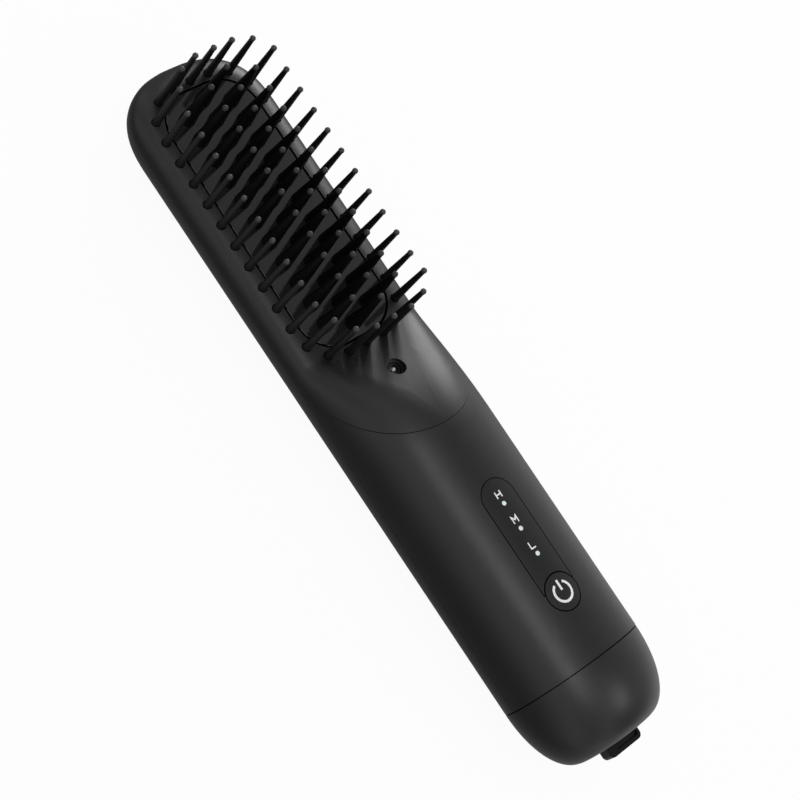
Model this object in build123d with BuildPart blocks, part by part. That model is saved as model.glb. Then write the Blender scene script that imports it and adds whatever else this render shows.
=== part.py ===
"""Cordless hot comb: an oval handle with a flat, bristled head and a heated comb plate.

The comb lies on the flat of its back. +X is across it, +Y runs from the charging end to
the tip of the head, and +Z points out of the bristle side.
"""
from build123d import *
from math import ceil, cos, pi, sin
import os

os.makedirs("parts", exist_ok=True)

# Body
body_width = 40.1           # across the oval
body_depth = 30.3           # front to back, before the rest flat is cut
rest_flat_cut = 1.25        # taken off the back, so that the comb lies still
wall = 2.0
parting_gap = 0.12          # hairline between the rear shell and the front pieces
cover_gap = 0.2             # hairline round the oval edge of the head cover
cap_gap = 0.3               # hairline in front of the end cap
seat_clearance = 0.1        # inner pieces that are set into a pocket
running_clearance = 0.24    # all round the button

# Head
face_rise = 4.6             # face above the body's axis
head_dome = 19.4            # length over which the head end rounds off
head_dome_power = 2.58
edge_roll = 6.5             # width of the rounded edge round the face
skirt_share = 0.01          # upright strip under the rounded edge
tip_margin = 8.05           # between the comb plate and the tip

# Neck: the front rises from the face to the handle along an S-curve
neck_after_plate = 0.2
neck_length = 31.0
neck_foot_reach = 3.0
neck_crest_reach = 15.0
neck_flat_start = 1.5       # how softly the flat of the face starts to narrow
neck_flat_power = 1.8       # and how fast it narrows further up
crown_flat = 0.1
seam_low_from_neck = 3.95   # oval seam at the parting line, behind the start of the neck
seam_high_from_neck = 28.35
seam_sag = 1.3

# Heated comb
pitch = 5.9                 # between teeth, and between guard pins
tooth_column_x = 6.87
tooth_margin = 6.0          # least bare length of plate, both ends together
tooth_base = 4.0
tooth_tip = 1.3             # under the ball
tooth_ball = 1.5
tooth_height = 16.54
tooth_shank = 2.4
tooth_shank_length = 1.6
plate_from_side = 6.6       # between the comb plate and the side of the body
plate_length = 72.1
plate_corner = 9.4
plate_gap = 0.3             # between the plate and the opening in the head cover
plate_flange = 0.65         # how far the flange reaches past the visible plate
plate_flange_thickness = 1.0
plate_thickness = 3.1
plate_bevel = 0.35

# Guard pins
pin_ring_offset = 1.9       # pin line outside the plate's edge
pin_corner_tightening = 1.4 # corners of the pin line are that much tighter than round the plate
pin_base = 2.2
pin_tip = 1.25              # under the ball
pin_ball = 1.5
side_pin_height = 14.8      # above the face
end_pin_height = 16.5
pin_shank = 1.4
pin_shank_length = 1.2
ring_width = 2.1
ring_drop = 2.75            # top of the ring below the face
ring_thickness = 1.8
pin_hole_clearance = 0.1

# Heater stack, from the plate down
film = 0.15
electrode = 0.3
heater_side_space = 1.85    # between the film and the wall of the tray
heater_thickness = 2.4
heater_piece = 18.0
heater_spacing = 1.0
heater_lead_rise = 0.8      # leads above the underside of the heaters
sensor_room = 3.0           # least room at each end of the heaters
film_margin = 0.8
clamp_thickness = 0.8
tray_wall = 1.8
tray_floor = 1.5
tray_flange = 1.5
ear_diameter = 6.0
ear_x = 10.0
ear_from_plate = 8.6        # ear centres beyond the plate's end
prop_diameter = 4.0         # props under the tray, on the floor of the rear shell
prop_x = 7.0
fuse_diameter = 2.2
fuse_length = 9.0
fuse_wire = 0.6
fuse_wire_length = 2.5
bead_diameter = 1.8
bead_length = 4.0
bead_rounding = 0.7

# Small screws
screw_shank = 2.0
screw_head = 3.8
screw_head_height = 1.4
screw_rounding_share = 0.4  # of the head's height
cross_reach_share = 0.55    # of the head's diameter
cross_stroke_share = 0.14
cross_depth_share = 0.5     # of the head's height
screw_play = 0.05
boss_diameter = 5.0
tray_screw_length = 5.0
board_screw_shank = 1.4
board_screw_head = 2.6
board_screw_head_height = 1.0
board_screw_length = 3.6

# Neck screw, in a stepped recess on the slope
neck_screw_from_neck = 11.1
recess = 4.8
recess_offset = 0.3         # towards the head, from the screw
recess_rise = 8.5           # its floor, above the body's axis
counterbore = 3.6
neck_screw_head = 3.3
neck_screw_head_height = 1.5
neck_screw_drive = 2.5      # round drive recess, with a pin in the middle
neck_screw_drive_depth = 0.8
neck_screw_pin = 1.5
neck_screw_pin_height = 0.9
neck_screw_length = 9.0
neck_screw_seat_rise = 6.9  # above the body's axis
neck_boss_diameter = 7.4
neck_post_diameter = 6.0
neck_seat_thickness = 1.6

# End cap and charging port
cap_length = 19.0
cap_end_share = 0.5         # how much narrower the end face is than the body
cap_power = 2.12
collar_reach = 5.0          # collar of the cap, inside the shells
collar_root = 3.0           # its root, along the inside of the cap
collar_wall = 1.5
dish_width = 15.0
dish_height = 7.6
dish_depth = 1.0
port_width = 10.2
port_height = 4.2
plug_clearance = 0.2
tab_width = 11.0
tab_thickness = 3.0
tab_reach = 3.3             # tab beyond the end of the cap
tab_corner = 1.4
nail_groove_width = 7.4
nail_groove = 1.3
nail_groove_depth = 0.6
nail_groove_x = 1.1         # to one side of the middle
plug_flange_width = 13.4
plug_flange_height = 6.0
plug_flange_thickness = 0.9
tongue_width = 8.0
tongue_height = 2.3
tongue_length = 5.0

# Controls
button_from_cap = 16.85     # button centre in front of the end cap's seam
button_diameter = 9.24
button_flange = 11.2
button_flange_thickness = 0.8
button_travel = 0.4
button_spare = 0.2          # room left under the flange at full travel
panel_width = 9.7
panel_reach = 30.75         # button centre to the head end of the panel
panel_thickness = 1.0
panel_gap = 0.18            # hairline round the panel
panel_horn = 1.6            # how far in front of the button centre the panel stops
led_pitch = 6.92
led_from_button = 10.47
light_pipe_diameter = 1.15
light_pipe_foot = 2.6
light_pipe_foot_thickness = 0.8
mark_depth = 0.3
icon_radius = 2.45
icon_stroke = 0.62
icon_gap_angle = 62.0
icon_bar = 2.6
icon_bar_low = 0.4          # lower end of the bar, ahead of the button centre
letter_height = 1.7
letter_width = 1.4
letter_stroke = 0.34
letter_from_led = 2.4

# Electronics
board_width = 14.0
board_length = 42.0
board_thickness = 1.0
board_top_rise = 9.1        # above the body's axis
board_behind_button = 9.45  # tail end of the board, behind the button centre
board_corner = 1.0
board_post_diameter = 3.6
board_post_x = 5.0
board_post_inset = 3.0
switch_size = 4.5
switch_height = 1.6
plunger_diameter = 2.4
plunger_depth = 0.5
led_height = 0.7
led_size = 1.6
chip_size = 5.0
chip_thickness = 0.9
chip_chamfer = 0.15
cell_diameter = 18.4
cell_length = 65.0
cell_drop = 1.7             # cell axis below the body's axis
cell_edge = 0.6
cell_from_cap = 6.5
cell_clearance = 7.15       # between the cell and the neck post
tab_strip = 0.25
tab_strip_width = 7.0
tab_strip_height = 10.0
tab_strip_corner = 1.75
cradle_height = 6.0
cradle_end = 1.2
foam_width = 8.0
foam_length = 22.0
foam_corner = 1.0
charge_board_width = 13.0
charge_board_thickness = 1.2
charge_board_length = 17.0
shelf_thickness = 1.5       # shelf in the cap, under the charging board
shelf_length = 12.0
socket_width = 8.94
socket_height = 3.26
socket_length = 7.35
socket_shell = 0.3
socket_rounding_share = 0.42    # of the height, as on the plug's tongue
socket_tongue_width = 6.7
socket_tongue_thickness = 0.7
lead_diameter = 1.0
lead_bend = 1.6
heater_lead_bend = 4.0
heater_lead_x = 5.5
charge_lead_x = 3.0
lead_rise = 4.8             # battery lead leaves the cell above its axis

# Snap tabs of the front shell, inside the rear shell
snap_tabs = 3
snap_length = 6.0
snap_thickness = 1.25
snap_inset = 0.7            # between the tab and the wall at the parting line
snap_reach = 3.0            # tab below the parting line
snap_root = 5.6             # and above it
snap_pitch = 23.0

# Places worked out from the sizes above
half_width = body_width / 2
half_depth = body_depth / 2
axis_z = half_depth - rest_flat_cut
face_z = axis_z + face_rise
front_z = axis_z + half_depth
plate_width = body_width - 2 * plate_from_side
head_length = tip_margin + plate_length + neck_after_plate
cell_from_neck = neck_screw_from_neck + neck_post_diameter / 2 + cell_clearance
body_length = head_length + cell_from_neck + cell_length + cell_from_cap + cap_length
overall_length = body_length + tab_reach
tip_y = overall_length / 2
end_y = tip_y - body_length
cap_seam_y = end_y + cap_length
dome_start_y = tip_y - head_dome
plate_y = tip_y - tip_margin - plate_length / 2
plate_end_y = plate_y - plate_length / 2
neck_start_y = plate_end_y - neck_after_plate
crest_y = neck_start_y - neck_length
button_y = cap_seam_y + button_from_cap
ear_y = plate_end_y - ear_from_plate
neck_screw_y = neck_start_y - neck_screw_from_neck


def upright(y):
    """Sketch plane across the body at y: local x is +X, local y is +Z from the axis."""
    return Plane(origin=(0, y, axis_z), x_dir=(1, 0, 0), z_dir=(0, -1, 0))


def level(z):
    """Sketch plane parallel to the face, at height z."""
    return Plane.XY.offset(z)


def tip_points(inset):
    """Points of the rounded head end in plan, from the side to the tip."""
    reach, half = head_dome - inset, half_width - inset
    steps = 10
    points = []
    for step in range(steps + 1):
        turn = pi / 2 * step / steps
        along = reach * sin(turn) ** (2 / head_dome_power)
        across = half * max(cos(turn), 0.0) ** (2 / head_dome_power)
        points.append((across, dome_start_y + along))
    return points


def oval_bar(inset, floor_z):
    """Oval bar with a domed head end and a flat underside, drawn in from the outside."""
    half = half_width - inset
    with BuildPart() as bar:
        with BuildSketch(Plane.YZ):
            with BuildLine():
                Polyline((tip_y - inset, 0), (end_y, 0), (end_y, half), (dome_start_y, half))
                Spline([(y, x) for x, y in tip_points(inset)], tangents=[(1, 0), (0, -1)])
            make_face()
        revolve(axis=Axis.Y)
        scale(by=(1, 1, (half_depth - inset) / half))
        split(bisect_by=Plane.XY.offset(floor_z - axis_z), keep=Keep.TOP)
    return Pos(0, 0, axis_z) * bar.part


def neck_curve(share):
    """Place on the S-curve of the neck: y, height above the axis and flat half-width."""
    rest = 1 - share
    foot, crest = rest**3 + 3 * rest**2 * share, 3 * rest * share**2 + share**3
    y = (
        foot * neck_start_y
        + crest * crest_y
        - 3 * rest**2 * share * neck_foot_reach
        + 3 * rest * share**2 * neck_crest_reach
    )
    narrowing = (1 - share**neck_flat_start) ** neck_flat_power
    flat = crown_flat + (half_width - edge_roll - crown_flat) * narrowing
    return y, foot * face_rise + crest * half_depth, flat


def front_section(y, top, flat, inset):
    """Front half of the body's section: a flat top with a rounded edge at each side."""
    half, height = half_width - inset, top - inset
    skirt = height * skirt_share / (1 + skirt_share)
    with BuildSketch(upright(y)) as section:
        with BuildLine():
            Line((-half, 0), (half, 0))
            Line((half, 0), (half, skirt))
            EllipticalCenterArc((flat, skirt), half - flat, height - skirt, 0, arc_size=90)
            Line((flat, height), (-flat, height))
            EllipticalCenterArc((-flat, skirt), half - flat, height - skirt, 90, arc_size=90)
            Line((-half, skirt), (-half, 0))
        make_face()
    return section.sketch


def front_form(inset):
    """Front half of the body as one solid: head, neck and handle up to the end cap."""
    half, roll = half_width - inset, edge_roll - inset
    rise = face_rise - inset
    with BuildPart() as head:
        with BuildSketch(Plane.XY):
            with BuildLine():
                Spline(tip_points(inset), tangents=[(0, 1), (-1, 0)])
                Line((half, dome_start_y), (half, neck_start_y))
                Line((half, neck_start_y), (0, neck_start_y))
                mirror(about=Plane.YZ)
            make_face()
        extrude(amount=roll * (1 + skirt_share))
        rim = head.edges().group_by(Axis.Z)[-1].sort_by(Axis.Y)[1:]
        rim = [edge for edge in rim if edge.center().Y > neck_start_y + roll]
        fillet(rim, radius=roll)
        scale(by=(1, 1, rise / (roll * (1 + skirt_share))))
    with BuildPart() as neck:
        stations = 12
        for station in range(stations + 1):
            y, top, flat = neck_curve(station / stations)
            add(front_section(y, top, flat, inset))
        loft()
    with BuildPart() as form:
        add(Pos(0, 0, axis_z) * head.part)
        add(neck.part)
        end = front_section(crest_y, half_depth, crown_flat, inset)
        extrude(end.face(), amount=crest_y - end_y, dir=(0, -1, 0))
    return form.part


def handle_bar(inset):
    """Front half of the handle alone, from the crest of the neck to the end cap's seam."""
    section = front_section(crest_y, half_depth, crown_flat, inset)
    with BuildPart() as bar:
        extrude(section.face(), amount=crest_y - cap_seam_y, dir=(0, -1, 0))
    return bar.part


def cap_form(inset):
    """End cap as a solid: a short oval tube that rounds over to a flat end face."""
    half, depth = half_width - inset, half_depth - inset
    with BuildPart() as form:
        steps = 8
        for step in range(steps + 1):
            turn = pi / 2 * step / steps
            along = (cap_length - inset) * sin(turn) ** (2 / cap_power)
            narrowing = cap_end_share * (1 - max(cos(turn), 0.0) ** (2 / cap_power))
            with BuildSketch(upright(cap_seam_y - along)):
                Ellipse(half - half_width * narrowing, depth - half_depth * narrowing)
        loft()
        split(bisect_by=level(inset), keep=Keep.TOP)
    return form.part


def handle_side_of_seam(gap):
    """Everything on the handle's side of the oval seam, less a gap."""
    low = (neck_start_y - seam_low_from_neck - gap, axis_z)
    high = (neck_start_y - seam_high_from_neck - gap, front_z)
    with BuildPart() as side:
        with BuildSketch(Plane.YZ):
            with BuildLine():
                SagittaArc(low, high, seam_sag)
                Polyline(high, (high[0], front_z + wall), (end_y - wall, front_z + wall))
                Polyline((end_y - wall, front_z + wall), (end_y - wall, 0), (low[0], 0), low)
            make_face()
        extrude(amount=body_width, both=True)
    return side.part


def round_bar(radius, height, z, *places):
    """Upright round bars of one size, standing on z at each place."""
    with BuildPart() as bars:
        with Locations(*[(x, y, z) for x, y in places]):
            Cylinder(radius, height, align=(Align.CENTER, Align.CENTER, Align.MIN))
    return bars.part


def panhead_screw(head, head_height, shank, length):
    """Pan-head screw with its head above z = 0 and a cross recess in it."""
    with BuildPart() as screw:
        Cylinder(head / 2, head_height, align=(Align.CENTER, Align.CENTER, Align.MIN))
        fillet(screw.edges().sort_by(Axis.Z)[-1], radius=head_height * screw_rounding_share)
        Cylinder(shank / 2, length, align=(Align.CENTER, Align.CENTER, Align.MAX))
        with BuildSketch(Plane.XY.offset(head_height)):
            Rectangle(head * cross_reach_share, head * cross_stroke_share)
            Rectangle(head * cross_stroke_share, head * cross_reach_share)
        extrude(amount=-head_height * cross_depth_share, mode=Mode.SUBTRACT)
    return screw.part


# Rear shell: the whole back half of the body, moulded in one piece
outer_front, inner_front = front_form(0), front_form(wall)
screw_seat_z = axis_z + neck_screw_seat_rise
neck_boss_z = screw_seat_z - neck_seat_thickness
plate_bottom_z = face_z - plate_thickness
stack = film + electrode + heater_thickness + electrode + film + clamp_thickness
tray_floor_z = plate_bottom_z - stack
tray_bottom_z = tray_floor_z - tray_floor
heater_room = plate_length - 2 * (tray_wall + sensor_room)
heater_pieces = int((heater_room + heater_spacing) / (heater_piece + heater_spacing))
heater_length = heater_pieces * heater_piece + (heater_pieces - 1) * heater_spacing
prop_places = [(side * prop_x, plate_y + end * heater_length / 2) for side in (-1, 1) for end in (-1, 1)]

with BuildPart() as rear_shell:
    add(oval_bar(0, 0))
    add(oval_bar(wall, wall), mode=Mode.SUBTRACT)
    split(bisect_by=level(axis_z - parting_gap / 2), keep=Keep.BOTTOM)
    split(bisect_by=Plane((0, cap_seam_y + cap_gap / 2, 0), z_dir=(0, 1, 0)), keep=Keep.TOP)
    post_height = neck_boss_z - seat_clearance - wall / 2
    add(round_bar(neck_post_diameter / 2, post_height, wall / 2, (0, neck_screw_y)))
    add(round_bar(prop_diameter / 2, tray_bottom_z - wall / 2, wall / 2, *prop_places))
    bore_z = screw_seat_z - neck_screw_length - wall / 2
    add(
        round_bar(screw_shank / 2 + screw_play, half_depth, bore_z, (0, neck_screw_y)),
        mode=Mode.SUBTRACT,
    )
rear_shell.part.label = "rear_shell"
export_step(rear_shell.part, "parts/rear_shell.step")

# Head cover: face, rounded edge and neck slope up to the oval seam
ring_bottom_z = face_z - ring_drop - ring_thickness
pin_x = plate_width / 2 + pin_ring_offset
pin_end = plate_length / 2 + pin_ring_offset
pin_corner = plate_corner + pin_ring_offset - pin_corner_tightening
straight = 2 * (pin_end - pin_corner)
side_pins = int(straight / pitch) + 1
last_side_pin = pitch * (side_pins - 1) / 2
with BuildLine() as end_line:
    Line((pin_x, last_side_pin), (pin_x, pin_end - pin_corner))
    CenterArc((pin_x - pin_corner, pin_end - pin_corner), pin_corner, 0, 90)
    Line((pin_x - pin_corner, pin_end), (pin_corner - pin_x, pin_end))
    CenterArc((pin_corner - pin_x, pin_end - pin_corner), pin_corner, 90, 90)
    Line((-pin_x, pin_end - pin_corner), (-pin_x, last_side_pin))
end_steps = ceil(end_line.wire().length / pitch)
end_places = []
for step in range(1, end_steps):
    spot = end_line.wire() @ (step / end_steps)
    end_places += [(spot.X, plate_y + spot.Y), (spot.X, plate_y - spot.Y)]
side_places = [
    (side * pin_x, plate_y - last_side_pin + pitch * row)
    for side in (-1, 1)
    for row in range(side_pins)
]
ear_places = [(-ear_x, ear_y), (ear_x, ear_y)]

with BuildPart() as cover_bosses:
    add(round_bar(boss_diameter / 2, half_depth, ring_bottom_z, *ear_places))
    add(round_bar(neck_boss_diameter / 2, half_depth, neck_boss_z, (0, neck_screw_y)))
    add(outer_front, mode=Mode.INTERSECT)
with BuildPart() as head_cover:
    add(outer_front)
    add(inner_front, mode=Mode.SUBTRACT)
    add(cover_bosses.part)
    add(handle_side_of_seam(0), mode=Mode.SUBTRACT)
    split(bisect_by=level(axis_z + parting_gap / 2), keep=Keep.TOP)
    with BuildSketch(level(ring_bottom_z)):
        with Locations((0, plate_y)):
            RectangleRounded(
                plate_width + 2 * plate_gap, plate_length + 2 * plate_gap, plate_corner + plate_gap
            )
    extrude(amount=half_depth, mode=Mode.SUBTRACT)
    pin_hole = pin_base / 2 + pin_hole_clearance
    add(round_bar(pin_hole, half_depth, ring_bottom_z, *side_places, *end_places), mode=Mode.SUBTRACT)
    add(
        round_bar(screw_shank / 2 + screw_play, tray_screw_length, ring_bottom_z, *ear_places),
        mode=Mode.SUBTRACT,
    )
    add(round_bar(counterbore / 2, half_depth, screw_seat_z, (0, neck_screw_y)), mode=Mode.SUBTRACT)
    recess_place = (0, neck_screw_y + recess_offset)
    add(round_bar(recess / 2, half_depth, axis_z + recess_rise, recess_place), mode=Mode.SUBTRACT)
    add(
        round_bar(screw_shank / 2 + screw_play, half_depth, axis_z, (0, neck_screw_y)),
        mode=Mode.SUBTRACT,
    )
head_cover.part.label = "head_cover"
export_step(head_cover.part, "parts/head_cover.step")

# Neck screw, sunk in its counterbore: a round drive recess with a domed pin in the middle
with BuildPart() as neck_screw:
    add(
        round_bar(
            neck_screw_head / 2, neck_screw_head_height, screw_seat_z, (0, neck_screw_y)
        )
    )
    rim = neck_screw.edges().sort_by(Axis.Z)[-1]
    chamfer(rim, length=(neck_screw_head - neck_screw_drive) / 4)
    drive_z = screw_seat_z + neck_screw_head_height - neck_screw_drive_depth
    add(
        round_bar(neck_screw_drive / 2, neck_screw_head_height, drive_z, (0, neck_screw_y)),
        mode=Mode.SUBTRACT,
    )
    dome_z = drive_z + neck_screw_pin_height - neck_screw_pin / 2
    add(round_bar(neck_screw_pin / 2, dome_z - drive_z, drive_z, (0, neck_screw_y)))
    with Locations((0, neck_screw_y, dome_z)):
        Sphere(neck_screw_pin / 2)
    shank_z = screw_seat_z - neck_screw_length
    add(round_bar(screw_shank / 2, neck_screw_length, shank_z, (0, neck_screw_y)))
neck_screw.part.label = "neck_screw"
export_step(neck_screw.part, "parts/neck_screw.step")

# Pin ring: a flat carrier under the cover, with a socket for each guard pin
ring_top_z = face_z - ring_drop
pin_places = side_places + end_places
with BuildPart() as pin_ring:
    with BuildSketch(level(ring_bottom_z)):
        with Locations((0, plate_y)):
            RectangleRounded(
                2 * pin_x + ring_width, 2 * pin_end + ring_width, pin_corner + ring_width / 2
            )
            RectangleRounded(
                2 * pin_x - ring_width,
                2 * pin_end - ring_width,
                pin_corner - ring_width / 2,
                mode=Mode.SUBTRACT,
            )
    extrude(amount=ring_thickness)
    pin_socket_z = ring_top_z - pin_shank_length - screw_play
    add(
        round_bar(pin_shank / 2 + screw_play, ring_thickness, pin_socket_z, *pin_places),
        mode=Mode.SUBTRACT,
    )
pin_ring.part.label = "pin_ring"
export_step(pin_ring.part, "parts/pin_ring.step")


def ball_tipped(base, tip, ball, height, shank, shank_length, z, places):
    """Tapered pins with a small ball at the tip, each standing on z with a shank below it."""
    taper = height - ball / 2
    upward, downward = (Align.CENTER, Align.CENTER, Align.MIN), (Align.CENTER, Align.CENTER, Align.MAX)
    with BuildPart() as pins:
        with Locations(*[(x, y, z) for x, y in places]):
            Cone(base / 2, tip / 2, taper, align=upward)
            Cylinder(shank / 2, shank_length, align=downward)
        with Locations(*[(x, y, z + taper) for x, y in places]):
            Sphere(ball / 2)
    return pins.part


# Guard pins: plain along the sides, taller round both ends
with BuildPart() as guard_pins:
    for places, height in ((side_places, side_pin_height), (end_places, end_pin_height)):
        rise = height + ring_drop
        add(
            ball_tipped(
                pin_base,
                pin_tip,
                pin_ball,
                rise,
                pin_shank,
                pin_shank_length,
                ring_top_z,
                places,
            )
        )
guard_pins.part.label = "guard_pins"
export_step(guard_pins.part, "parts/guard_pins.step")

# Heating plate, held behind the cover by its flange, with a socket for each tooth
centre_teeth = int((plate_length - tooth_margin) / pitch) + 1
tooth_places = [(0, plate_y + pitch * (row - (centre_teeth - 1) / 2)) for row in range(centre_teeth)]
for side in (-1, 1):
    for row in range(centre_teeth - 1):
        tooth_places.append((side * tooth_column_x, plate_y + pitch * (row - centre_teeth / 2 + 1)))

with BuildPart() as heating_plate:
    with BuildSketch(level(plate_bottom_z)):
        with Locations((0, plate_y)):
            RectangleRounded(plate_width, plate_length, plate_corner)
    extrude(amount=plate_thickness)
    chamfer(heating_plate.edges().group_by(Axis.Z)[-1], length=plate_bevel)
    with BuildSketch(level(plate_bottom_z)):
        with Locations((0, plate_y)):
            RectangleRounded(
                plate_width + 2 * plate_flange,
                plate_length + 2 * plate_flange,
                plate_corner + plate_flange,
            )
    extrude(amount=plate_flange_thickness)
    socket_z = face_z - tooth_shank_length - screw_play
    add(
        round_bar(tooth_shank / 2 + screw_play, plate_thickness, socket_z, *tooth_places),
        mode=Mode.SUBTRACT,
    )
heating_plate.part.label = "heating_plate"
export_step(heating_plate.part, "parts/heating_plate.step")

# Heated teeth: tapered, ball-tipped, each with a shank in the plate
with BuildPart() as heated_teeth:
    add(
        ball_tipped(
            tooth_base,
            tooth_tip,
            tooth_ball,
            tooth_height,
            tooth_shank,
            tooth_shank_length,
            face_z,
            tooth_places,
        )
    )
heated_teeth.part.label = "heated_teeth"
export_step(heated_teeth.part, "parts/heated_teeth.step")


def sheet(width, length, thickness, z):
    """Flat sheet of the heater stack, centred under the plate."""
    with BuildPart() as layer:
        with BuildSketch(level(z)):
            with Locations((0, plate_y)):
                Rectangle(width, length)
        extrude(amount=thickness)
    return layer.part


# Heater stack: film, electrode, ceramic heaters, electrode, film and clamp plate
upper_film_z = plate_bottom_z - film
upper_electrode_z = upper_film_z - electrode
heater_z = upper_electrode_z - heater_thickness
lower_electrode_z = heater_z - electrode
lower_film_z = lower_electrode_z - film
clamp_z = lower_film_z - clamp_thickness
film_width = plate_width - 2 * (tray_wall + heater_side_space)
film_length = heater_length + 2 * film_margin
heater_width = film_width - 2 * film_margin

with BuildPart() as insulating_film:
    add(sheet(film_width, film_length, film, upper_film_z))
    add(sheet(film_width, film_length, film, lower_film_z))
insulating_film.part.label = "insulating_film"
export_step(insulating_film.part, "parts/insulating_film.step")

with BuildPart() as heater_electrodes:
    add(sheet(heater_width, heater_length, electrode, upper_electrode_z))
    add(sheet(heater_width, heater_length, electrode, lower_electrode_z))
heater_electrodes.part.label = "heater_electrodes"
export_step(heater_electrodes.part, "parts/heater_electrodes.step")

with BuildPart() as ptc_heater:
    with BuildSketch(level(heater_z)):
        with Locations((0, plate_y)):
            with GridLocations(0, heater_piece + heater_spacing, 1, heater_pieces):
                Rectangle(heater_width, heater_piece)
    extrude(amount=heater_thickness)
ptc_heater.part.label = "ptc_heater"
export_step(ptc_heater.part, "parts/ptc_heater.step")

with BuildPart() as clamp_plate:
    add(sheet(film_width, film_length, clamp_thickness, clamp_z))
clamp_plate.part.label = "clamp_plate"
export_step(clamp_plate.part, "parts/clamp_plate.step")

# Heater tray: carries the stack, and its flange holds up the bristle ring
heater_end_y = plate_y - heater_length / 2
lead_z = heater_z + heater_lead_rise
heater_lead_places = (-heater_lead_x, heater_lead_x)

with BuildPart() as heater_tray:
    with BuildSketch(level(tray_bottom_z)):
        with Locations((0, plate_y)):
            RectangleRounded(plate_width, plate_length, plate_corner)
    extrude(amount=plate_bottom_z - tray_bottom_z)
    with BuildSketch(level(ring_bottom_z)):
        with Locations((0, plate_y)):
            RectangleRounded(
                2 * pin_x + ring_width, 2 * pin_end + ring_width, pin_corner + ring_width / 2
            )
        with Locations(*ear_places):
            Circle(ear_diameter / 2)
        with Locations(*[(x, (plate_end_y + ear_y) / 2) for x, y in ear_places]):
            Rectangle(ear_diameter, plate_end_y - ear_y)
    extrude(amount=-tray_flange)
    with BuildSketch(level(tray_floor_z)):
        with Locations((0, plate_y)):
            RectangleRounded(
                plate_width - 2 * tray_wall, plate_length - 2 * tray_wall, plate_corner - tray_wall
            )
    extrude(amount=half_depth, mode=Mode.SUBTRACT)
    add(
        round_bar(screw_shank / 2 + screw_play, tray_flange, ring_bottom_z - tray_flange, *ear_places),
        mode=Mode.SUBTRACT,
    )
    notch = lead_diameter / 2 + seat_clearance
    notch_end_y = ear_y - ear_diameter / 2
    with BuildSketch(level(lead_z - notch)):
        with Locations(*[(x, notch_end_y) for x in heater_lead_places]):
            Rectangle(2 * notch, heater_end_y - notch_end_y, align=(Align.CENTER, Align.MIN))
    extrude(amount=half_depth, mode=Mode.SUBTRACT)
heater_tray.part.label = "heater_tray"
export_step(heater_tray.part, "parts/heater_tray.step")

with BuildPart() as tray_screws:
    screw = Rot(180, 0, 0) * panhead_screw(screw_head, screw_head_height, screw_shank, tray_screw_length)
    for x, y in ear_places:
        add(Pos(x, y, ring_bottom_z - tray_flange) * screw)
tray_screws.part.label = "tray_screws"
export_step(tray_screws.part, "parts/tray_screws.step")

# Thermal fuse and temperature sensor, against the underside of the plate
sensor_space = (plate_length / 2 - tray_wall + film_length / 2) / 2
with BuildPart() as thermal_fuse:
    with Locations(Location((0, plate_y - sensor_space, plate_bottom_z - fuse_diameter / 2), (0, 90, 0))):
        Cylinder(fuse_diameter / 2, fuse_length)
        Cylinder(fuse_wire / 2, fuse_length + 2 * fuse_wire_length)
thermal_fuse.part.label = "thermal_fuse"
export_step(thermal_fuse.part, "parts/thermal_fuse.step")

with BuildPart() as temperature_sensor:
    with Locations(Location((0, plate_y + sensor_space, plate_bottom_z - bead_diameter / 2), (90, 0, 0))):
        Cylinder(bead_diameter / 2, bead_length)
    fillet(temperature_sensor.edges().filter_by(GeomType.CIRCLE), radius=bead_rounding)
temperature_sensor.part.label = "temperature_sensor"
export_step(temperature_sensor.part, "parts/temperature_sensor.step")


def lead(x, bend, *points):
    """Round insulated lead at x: straight runs through (y, z) points, joined by arcs."""
    with BuildPart() as wire:
        with BuildLine() as route:
            FilletPolyline(*[(x, y, z) for y, z in points], radius=bend)
        with BuildSketch(Plane(route.wire() @ 0, z_dir=route.wire() % 0)):
            Circle(lead_diameter / 2)
        sweep()
    return wire.part


# Control board and what stands on it
board_top_z = axis_z + board_top_rise
board_bottom_z = board_top_z - board_thickness
board_y = button_y - board_behind_button + board_length / 2
board_head_y, board_tail_y = board_y + board_length / 2, board_y - board_length / 2
board_mid_z = board_top_z - board_thickness / 2
led_places = [(0, button_y + led_from_button + led_pitch * row) for row in range(3)]
board_screw_places = [
    (side * board_post_x, board_y + end * (board_length / 2 - board_post_inset))
    for side in (-1, 1)
    for end in (-1, 1)
]
board_bore = board_screw_shank / 2 + screw_play

with BuildPart() as control_board:
    with BuildSketch(level(board_bottom_z)):
        with Locations((0, board_y)):
            RectangleRounded(board_width, board_length, board_corner)
        with Locations(*board_screw_places):
            Circle(board_bore, mode=Mode.SUBTRACT)
    extrude(amount=board_thickness)
control_board.part.label = "control_board"
export_step(control_board.part, "parts/control_board.step")

with BuildPart() as board_screws:
    screw = Rot(180, 0, 0) * panhead_screw(
        board_screw_head, board_screw_head_height, board_screw_shank, board_screw_length
    )
    for x, y in board_screw_places:
        add(Pos(x, y, board_bottom_z) * screw)
board_screws.part.label = "board_screws"
export_step(board_screws.part, "parts/board_screws.step")

with BuildPart() as indicator_leds:
    with BuildSketch(level(board_top_z)):
        with Locations(*led_places):
            Rectangle(led_size, led_size)
    extrude(amount=led_height)
indicator_leds.part.label = "indicator_leds"
export_step(indicator_leds.part, "parts/indicator_leds.step")

with BuildPart() as tact_switch:
    with BuildSketch(level(board_top_z)):
        with Locations((0, button_y)):
            Rectangle(switch_size, switch_size)
    extrude(amount=switch_height)
    well_z = board_top_z + switch_height - plunger_depth - button_travel - seat_clearance
    add(
        round_bar(plunger_diameter / 2 + seat_clearance, switch_height, well_z, (0, button_y)),
        mode=Mode.SUBTRACT,
    )
tact_switch.part.label = "tact_switch"
export_step(tact_switch.part, "parts/tact_switch.step")

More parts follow.
